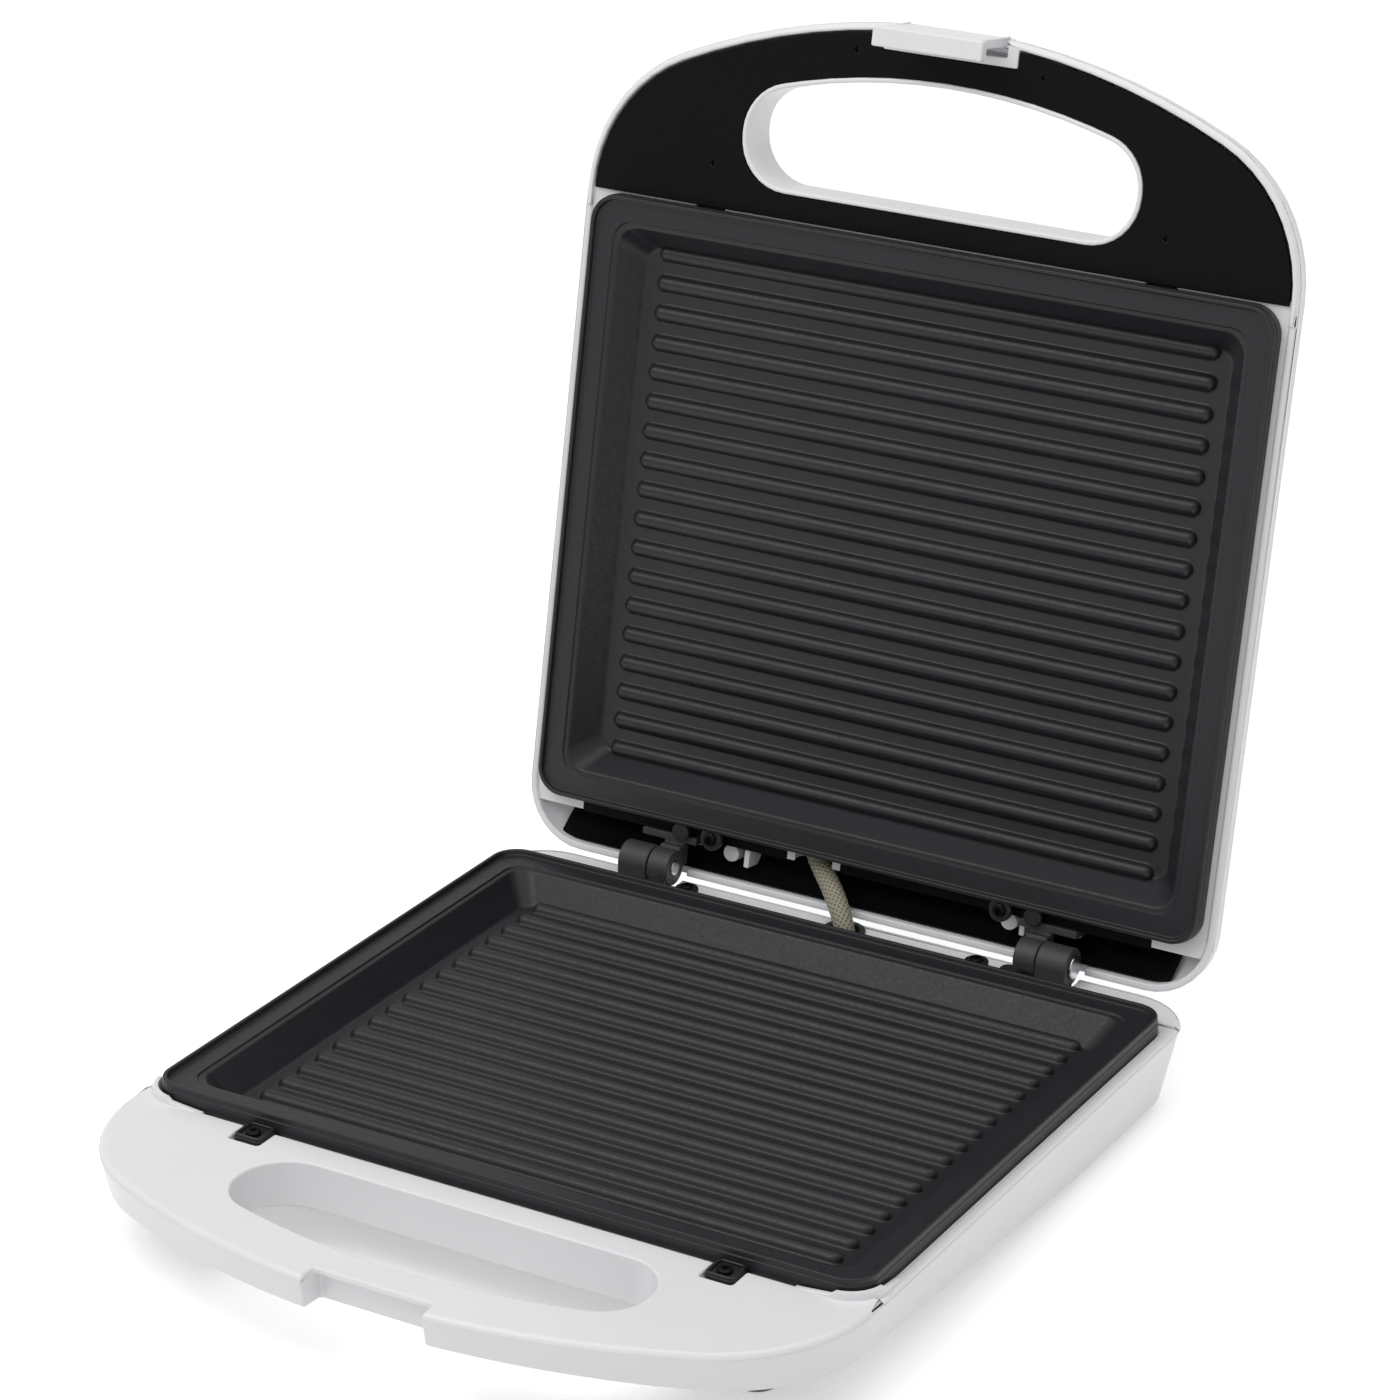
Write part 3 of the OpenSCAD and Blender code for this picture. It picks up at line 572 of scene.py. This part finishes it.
def grow(tree, points, bm_piece, **values):
    """Runs a tree on drawn points and returns its result as drawn geometry."""
    shape_mesh = bpy.data.meshes.new("shape")
    bmesh.ops.recalc_face_normals(bm_piece, faces=bm_piece.faces)
    bm_piece.to_mesh(shape_mesh)
    bm_piece.free()
    shape = bpy.data.objects.new("shape", shape_mesh)
    scene.collection.objects.link(shape)
    carrier_mesh = bpy.data.meshes.new("carrier")
    carrier_mesh.from_pydata(points, [], [])
    carrier = bpy.data.objects.new("carrier", carrier_mesh)
    scene.collection.objects.link(carrier)
    grower = carrier.modifiers.new("grower", "NODES")
    grower.node_group = tree
    ids = {s.name: s.identifier for s in tree.interface.items_tree if s.in_out == "INPUT"}
    for label, value in {"Piece": shape, **values}.items():
        grower[ids[label]] = value
    bake(carrier)
    bm = bmesh.new()
    bm.from_mesh(carrier.data)
    bpy.data.objects.remove(carrier)
    bpy.data.objects.remove(shape)
    return bm


def screw_head(radius, height, cross):
    """Pan head with a cross recess, its underside at z = 0."""
    bm = bmesh.new()
    sides = 32
    levels = ((1.0, 0.0), (1.0, 0.45), (0.94, 0.72), (0.8, 0.9), (0.62, 0.97), (0.46, 1.0))
    rings = [[(radius * k * cos(2 * pi * i / sides), radius * k * sin(2 * pi * i / sides),
               height * h) for i in range(sides)] for k, h in levels]
    inner = []
    for k in (0.4, 0.3, 0.2, 0.1):
        ring = []
        for i in range(sides):
            a = 2 * pi * i / sides
            x = radius * k * cos(a)
            y = radius * k * sin(a)
            deep = min(abs(x), abs(y)) < cross
            ring.append((x, y, height * (0.35 if deep else 1.0)))
        inner.append(ring)
    loft(bm, rings + inner)
    return bm


def screws(name, spots, radius, height, place, material, body, replaces=()):
    bm = grow(SPOTS, spots, screw_head(radius, height, radius * 0.12), Finish=material)
    return finish_piece(name, bm, place, material, body, replaces, 30)


# ---- grill plates ----
def plate_corner(inset):
    return float(np.interp(inset, (0, 1.7, 11.7, 19.7), (11, 9.3, 8, 6)))


def plate_body(tab_top):
    """One casting: pan, sloping wall, land, lip and outer wall, with its tabs and lugs."""
    section = filleted(
        (
            (13.2, UNDER_Z, 0),
            (12, UNDER_Z, 1.0),
            (12, LAND_Z - 3, 0.8),
            (2.8, LAND_Z - 3, 0.8),
            (2.8, RIM_BOTTOM, 0.4),
            (0, RIM_BOTTOM, 0.4),
            (0, RIM_TOP - 2.6, 0.5),
            (0.35, RIM_TOP - 2.2, 0.3),
            (0.35, RIM_TOP, 0.7),
            (1.9, RIM_TOP, 0.6),
            (2.3, LAND_Z, 0.6),
            (9.6, LAND_Z, 0.3),
            (10.0, LAND_Z - 0.7, 0.3),
            (11.7, LAND_Z - 0.8, 1.6),
            (19.7, FLOOR_Z, 2.2),
            (23.5, FLOOR_Z, 0),
        )
    )
    bm = bmesh.new()
    loft(
        bm,
        [
            [
                (x, y, z)
                for x, y in rounded(PLATE_W - d, d - PLATE_D, PLATE_D - d, plate_corner(d), 10)
            ]
            for d, z in section
        ],
    )
    for side in (-1, 1):
        x0 = side * TAB_X
        y0 = -PLATE_D - TAB_LEN

        def tab(d, grow_by=0.0):
            return [
                (x0 + x, y)
                for x, y in rounded(TAB_W / 2 - d, y0 + d, -PLATE_D + 1 - d, 2.2 - d * 0.8, 5)
            ]

        pad(bm, tab, tab_top - TAB_T, tab_top, 0.5)
        # Raised border round the screw
        loft(
            bm,
            [
                [(x, y, z) for x, y in tab(d)]
                for d, z in ((0.3, tab_top - 0.4), (0.3, tab_top + 0.7), (0.6, tab_top + 0.95))
            ]
            + [
                [(x, y, z) for x, y in tab(d)]
                for d, z in ((1.2, tab_top + 0.95), (1.5, tab_top + 0.7), (1.6, tab_top - 0.2))
            ],
        )
        for x, r in LUGS:
            pad(
                bm,
                lambda d: [(side * x + p[0], p[1]) for p in arc(0, LUG_Y, r - d, 0, 352.5, 47)],
                LUG_Z,
                LUG_Z + LUG_T,
                0.6,
            )
    return bm


def rib():
    """Round-topped cooking rib with round ends and a cast fillet along its foot."""
    bm = bmesh.new()
    profile = [(3.9, 0.0), (3.45, 0.12), (3.1, 0.45)]
    profile += [(RIB_R * cos(radians(a)), RIB_R * sin(radians(a))) for a in range(18, 163, 16)]
    profile += [(-3.1, 0.45), (-3.45, 0.12), (-3.9, 0.0), (-3.0, -1.0), (3.0, -1.0)]
    line = []
    for i in range(8):
        a = pi / 2 * i / 7
        line.append((-RIB_HALF + 3.2 * (1 - cos(a)), max(sin(a), 0.06)))
    line += [(-x, s) for x, s in reversed(line)]
    loft(bm, [[(x, u * s, FLOOR_Z + v * s) for u, v in profile] for x, s in line])
    return bm


def plate(prefix, tab_top, place, body, node, screws_node):
    finish_piece(
        prefix + "_plate_casting", plate_body(tab_top), place, coating, body, (node,)
    )
    start = -(RIB_COUNT - 1) / 2 * RIB_PITCH
    ribs = grow(
        ROW,
        [(0, 0, 0)],
        rib(),
        Count=RIB_COUNT,
        Start=(0.0, start, 0.0),
        Step=(0.0, RIB_PITCH, 0.0),
        Finish=coating,
    )
    finish_piece(prefix + "_cooking_ribs", ribs, place, coating, body)
    spots = [(s * TAB_X, TAB_SCREW_Y, tab_top) for s in (-1, 1)]
    spots += [(s * LUGS[0][0], LUG_Y, LUG_Z + LUG_T - 0.3) for s in (-1, 1)]
    screws(
        prefix + "_plate_screw_heads", spots, 2.7, 1.5, place, black_steel, body,
        (screws_node,),
    )


plate("lower", LOW_TAB_TOP, on_base, "base", "lower_grill_plate", "lower_plate_screws")
plate("upper", UP_TAB_TOP, turned, "lid", "upper_grill_plate", "upper_plate_screws")


# ---- base shell, with the raised lips that hug the plate's front corners ----
softened("base_shell", 0.9, white_abs, "base")

corner_lips = bmesh.new()
for side in (-1, 1):
    centre = (PLATE_W - 11, -PLATE_D + 11)
    path = [(PLATE_W + 2.0, -PLATE_D + 20)]
    path += arc(centre[0], centre[1], 13.0, 0, -90, 12)
    path += [(PLATE_W - 24, -PLATE_D - 2.0)]
    rings = []
    for i, (x, y) in enumerate(path):
        ax, ay = path[max(i - 1, 0)]
        bx, by = path[min(i + 1, len(path) - 1)]
        along = Vector((bx - ax, by - ay)).normalized()
        out = Vector((-along.y, along.x))
        if out.dot(Vector((x - centre[0] + 0.01, y - centre[1]))) < 0:
            out = -out
        fade = min(i, len(path) - 1 - i, 2) / 2
        top = HANDLE_TOP - 0.6 + 3.0 * (0.15 + 0.85 * fade)
        ring = []
        for u, v in ((-1.2, -3), (-1.2, 0.7), (-0.7, 1), (0.7, 1), (1.2, 0.7), (1.4, -3)):
            z = HANDLE_TOP - 3 if v < 0 else HANDLE_TOP - 0.6 + (top - HANDLE_TOP + 0.6) * v
            ring.append((side * (x + out.x * u), y + out.y * u, z))
        rings.append(ring)
    loft(corner_lips, rings)
finish_piece("base_corner_lips", corner_lips, on_base, white_abs, "base")


# ---- lid shell: the drawn shape cut to a smooth dome ----
def smooth_dome():
    """Solid with the lid's sections blended into one curve at each bearing."""
    cx = 0.0
    cy = -12.0
    bearings = [2 * pi * i / 220 for i in range(220)]
    controls = []
    for z, inset, handle in LID_SECTIONS:
        plan = outline(inset) if handle else body_plan(inset)
        controls.append((z, [reach_at(plan, cx, cy, a) for a in bearings]))
    rows = [(controls[0][0], controls[0][1])]
    for (z0, r0), (z1, r1), (z2, r2) in zip(controls, controls[1:], controls[2:]):
        first = (z0, r0) if z0 == controls[0][0] else ((z0 + z1) / 2, [(a + b) / 2 for a, b in zip(r0, r1)])
        last = (z2, r2) if z2 == controls[-1][0] else ((z1 + z2) / 2, [(a + b) / 2 for a, b in zip(r1, r2)])
        for i in range(1 if rows else 0, 6):
            t = i / 5
            w0 = (1 - t) ** 2
            w1 = 2 * t * (1 - t)
            w2 = t * t
            z = first[0] * w0 + z1 * w1 + last[0] * w2
            radii = [a * w0 + b * w1 + c * w2 for a, b, c in zip(first[1], r1, last[1])]
            rows.append((z, radii))
    bm = bmesh.new()
    loft(
        bm,
        [
            [(cx + r * cos(a), cy + r * sin(a), z) for r, a in zip(radii, bearings)]
            for z, radii in rows
        ],
    )
    for v in bm.verts:
        v.co = turned(v.co)
    bmesh.ops.recalc_face_normals(bm, faces=bm.faces)
    mesh = bpy.data.meshes.new("dome")
    bm.to_mesh(mesh)
    bm.free()
    dome = bpy.data.objects.new("dome", mesh)
    scene.collection.objects.link(dome)
    return dome


lid = merged_copy("lid_shell", "lid_shape")
dome = smooth_dome()
cut = lid.modifiers.new("smooth_back", "BOOLEAN")
cut.operation = "INTERSECT"
cut.solver = "EXACT"
cut.object = dome
bake(lid)
bpy.data.objects.remove(dome)
soften(lid, 0.6, 36, 2, False)
lid_mesh = lid.data
bpy.data.objects.remove(lid)
dress("lid_shell_moulded", lid_mesh, white_abs, "lid", ("lid_shell",))


# ---- painted shade: a black sheet lining the hollow behind the upper plate ----
def painted_shade_sheet(bm, profile, x0, x1):
    """Thin black sheet along the lid's rear wall that follows its round corners; it paints the shade in the
    hollow.
    """
    straight = HALF_W - REAR_R
    stations = [x0, x1]
    if x0 < -straight:
        stations += [-straight - d for d in (0, 3, 6, 8)]
    if x1 > straight:
        stations += [straight + d for d in (0, 3, 6, 8)]
    rings = []
    for x in sorted(set(stations)):
        over = max(abs(x) - straight, 0)
        back = REAR_R - (REAR_R**2 - over**2) ** 0.5
        rise = 1.2 + 0.35 * over
        ring = [(x, max(y - back, 123.4 + i * 0.01), min(z + rise, 33)) for i, (y, z) in
                enumerate(profile)]
        rings.append(ring)
    loft(bm, rings)


painted_shade_bm = bmesh.new()
crown = [(136.1, 32.4), (135.8, 29.5), (131.5, 23.9), (123.5, 17.1)]
crown += [(123.5, 17.9), (131.0, 24.5), (135.2, 29.7), (135.5, 32.4)]
painted_shade_sheet(painted_shade_bm, crown, -131, 131)
step = [(119.7, 33.35), (123.1, 33.35), (123.1, 17.3), (123.7, 17.3), (123.7, 34.7), (119.7, 34.7)]
for x0, x1 in ((-122, -31), (-8, 122)):
    loft(painted_shade_bm, [[(x, y, z) for y, z in step] for x in (x0, x1)])
# Painted shade: this black sheet stands for the shadow inside the lid's rear hollow
finish_piece("lid_rear_liner", painted_shade_bm, turned, black_abs_and_painted_shade, "lid")

# Ribs and screw bosses in the rear cavity of the lid, which stand out light against the black sheet painted
# there as shade
cavity = bmesh.new()
for x in (-49, 69):
    pad(
        cavity,
        lambda d: [(x + p[0], p[1]) for p in rounded(1.1 - d, 123.2 + d, 131.2 - d, 0.4, 3)],
        23,
        33,
        0.3,
    )
for x in (-57, 62.5):
    pad(cavity, lambda d: arc(x, 127.5, 3.4 - d, 0, 348.75, 31), 20, 31, 0.4)
finish_piece("lid_cavity_ribs", cavity, turned, white_abs, "lid")

# ---- other moulded pieces ----
softened("lid_handle_cover", 0.3, black_abs_and_painted_shade, "lid")
softened("base_bottom_cover", 0.5, white_abs, "base")
softened("latch", 0.7, white_abs, "latch")
for side in ("left", "right"):
    softened("base_hinge_" + side, 0.6, hinge_pp, "base")
    softened("lid_hinge_" + side, 0.5, hinge_pp, "lid")
    softened("hinge_pin_" + side, 0.4, pin_steel, "base")
softened("front_feet", 1.0, rubber, "base")
softened("rear_feet", 0.8, rubber, "base")
softened("sleeve_bush", 0.3, hinge_pp, "base")
softened("cord_gland", 0.5, black_abs_and_painted_shade, "base")
softened("power_lens", 1.0, red_lens, "lid")
softened("ready_lens", 1.0, green_lens, "lid")

cover_spots = [(s * x, y, HANDLE_TOP - 0.5) for s in (-1, 1) for x, y in ((38, -186), (93, -136))]
screws(
    "handle_cover_screw_heads", cover_spots, 2.5, 1.3, turned, black_steel, "lid",
    ("handle_cover_screws",),
)


# ---- wiring sleeve ----
def sleeve():
    """Tube along the sleeve's path, with a map of its length and its girth in metres."""
    a, b, c, d = [Vector(p) for p in SLEEVE_PATH]
    sides = 28
    count = 40
    rings = []
    length = 0
    lengths = []
    last = None
    for i in range(count + 1):
        t = i / count
        p = a * (1 - t) ** 3 + b * 3 * t * (1 - t) ** 2 + c * 3 * t * t * (1 - t) + d * t**3
        q = (b - a) * (1 - t) ** 2 + (c - b) * 2 * t * (1 - t) + (d - c) * t * t
        u = q.cross(Vector((0, 1, 0))).normalized()
        v = q.normalized().cross(u)
        if last is not None:
            length += (p - last).length
        last = p
        lengths.append(length)
        r = SLEEVE_R + 0.12 * sin(length * 1.9)
        rings.append(
            [p + (u * cos(2 * pi * k / sides) + v * sin(2 * pi * k / sides)) * r for k in range(sides)]
        )
    mesh = bpy.data.meshes.new("sleeve")
    verts = [on_base(p) for ring in rings for p in ring]
    faces = []
    for i in range(count):
        for k in range(sides):
            j = (k + 1) % sides
            faces.append((i * sides + k, i * sides + j, (i + 1) * sides + j, (i + 1) * sides + k))
    faces.append(tuple(range(sides))[::-1])
    faces.append(tuple(count * sides + k for k in range(sides)))
    mesh.from_pydata(verts, [], faces)
    uv = mesh.uv_layers.new(name="along")
    girth = 2 * pi * SLEEVE_R * MM
    for face in mesh.polygons:
        for loop, vert in zip(face.loop_indices, face.vertices):
            k = vert % sides
            if len(face.vertices) == 4 and k == 0 and max(v % sides for v in face.vertices) > sides // 2:
                k = sides
            uv.data[loop].uv = (lengths[vert // sides] * MM, girth * k / sides)
    bm = bmesh.new()
    bm.from_mesh(mesh)
    bmesh.ops.recalc_face_normals(bm, faces=bm.faces)
    bm.to_mesh(mesh)
    bm.free()
    mesh.materials.append(sleeve_cloth)
    mesh.shade_smooth()
    thing = bpy.data.objects.new("wiring_sleeve_braid", mesh)
    scene.collection.objects.link(thing)
    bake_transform(thing)
    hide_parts("wiring_sleeve")


sleeve()

# ---- finishes of the pieces that keep their drawn shape ----
KEPT = {
    "cover_screws": zinc,
    "base_hinge_screws": zinc,
    "lid_hinge_screws": zinc,
    "lower_heating_element": tube_steel,
    "upper_heating_element": tube_steel,
    "lower_element_ends": steatite,
    "upper_element_ends": steatite,
    "lower_element_clips": zinc,
    "upper_element_clips": zinc,
    "lower_reflector": sheet,
    "upper_reflector": sheet,
    "lower_reflector_screws": zinc,
    "upper_reflector_screws": zinc,
    "lower_thermal_fuse": brass,
    "upper_thermal_fuse": brass,
    "thermostat": steatite,
    "terminal_block": steatite,
    "lamp_board": laminate,
    "lamps": lamp_glass,
    "latch_pin": pin_steel,
}
for node, material in KEPT.items():
    kept = frame["nodes"][node]
    if not kept.material_slots:
        kept.data.materials.append(material)
    for slot in kept.material_slots:
        slot.material = material


# ---- stage, light and camera ----
def stage():
    """Pale floor that looks white where nothing shades it."""
    mesh = bpy.data.meshes.new("floor")
    mesh.from_pydata([(-30, -30, 0), (30, -30, 0), (30, 30, 0), (-30, 30, 0)], [], [(0, 1, 2, 3)])
    floor = bpy.data.objects.new("floor", mesh)
    scene.collection.objects.link(floor)
    material = bpy.data.materials.new("paper_matte_white")
    material.use_nodes = True
    tree = material.node_tree
    tree.nodes.clear()
    diffuse = add(tree, "ShaderNodeBsdfDiffuse", {"Color": linear("#F4F4F4")})
    path = add(tree, "ShaderNodeLightPath")
    seen = add(
        tree,
        "ShaderNodeMath",
        links={0: path.outputs["Is Camera Ray"], 1: path.outputs["Is Glossy Ray"]},
        operation="ADD",
    )
    seen = add(
        tree,
        "ShaderNodeMath",
        links={0: seen.outputs["Value"], 1: path.outputs["Is Transmission Ray"]},
        operation="ADD",
        use_clamp=True,
    )
    level = add(
        tree, "ShaderNodeMath", {1: 0.4}, {0: seen.outputs["Value"]}, operation="MULTIPLY"
    )
    glow = add(
        tree,
        "ShaderNodeEmission",
        {"Color": (1, 1, 1, 1)},
        {"Strength": level.outputs["Value"]},
    )
    both = add(
        tree,
        "ShaderNodeAddShader",
        links={0: diffuse.outputs["BSDF"], 1: glow.outputs["Emission"]},
    )
    add(tree, "ShaderNodeOutputMaterial", links={"Surface": both.outputs["Shader"]})
    mesh.materials.append(material)


def world():
    sky = bpy.data.worlds.new("studio")
    scene.world = sky
    sky.use_nodes = True
    tree = sky.node_tree
    tree.nodes.clear()
    path = add(tree, "ShaderNodeLightPath")
    seen = add(
        tree,
        "ShaderNodeMath",
        links={0: path.outputs["Is Camera Ray"], 1: path.outputs["Is Transmission Ray"]},
        operation="ADD",
        use_clamp=True,
    )
    level = add(
        tree,
        "ShaderNodeMapRange",
        {"To Min": 0.62, "To Max": 1.0},
        {"Value": seen.outputs["Value"]},
    )
    back = add(
        tree,
        "ShaderNodeBackground",
        {"Color": (1, 1, 1, 1)},
        {"Strength": level.outputs["Result"]},
    )
    add(tree, "ShaderNodeOutputWorld", links={"Surface": back.outputs["Background"]})


def softbox(name, place, target, size, power):
    lamp = bpy.data.lights.new(name, "AREA")
    lamp.shape = "SQUARE"
    lamp.size = size
    lamp.energy = power
    thing = bpy.data.objects.new(name, lamp)
    thing.location = place
    aim = (Vector(target) - Vector(place)).normalized()
    thing.rotation_euler = aim.to_track_quat("-Z", "Y").to_euler()
    scene.collection.objects.link(thing)


stage()
world()
softbox("key_softbox", (-0.7, -0.9, 1.7), (0, 0, 0.1), 1.2, 11)
softbox("top_softbox", (0.3, 0.2, 2.0), (0, 0, 0.1), 1.4, 7)

lens = bpy.data.cameras.new("camera")
lens.lens = 118.608
lens.sensor_width = 36
lens.shift_x = 0.00154
lens.shift_y = 0.02188
lens.clip_start = 0.05
camera = bpy.data.objects.new("camera", lens)
scene.collection.objects.link(camera)
eye = Vector((0.728127, -1.287745, 0.775097))
target = Vector((0.010518, -0.006887, 0.164361))
forward = (target - eye).normalized()
level = forward.cross(Vector((0, 0, 1))).normalized()
upright = level.cross(forward)
roll = radians(0.952)
right = level * cos(roll) + upright * sin(roll)
up = upright * cos(roll) - level * sin(roll)
turn = Matrix((right, up, -forward)).transposed().to_4x4()
camera.matrix_world = Matrix.Translation(eye) @ turn
scene.camera = camera
scene.view_settings.view_transform = "Standard"
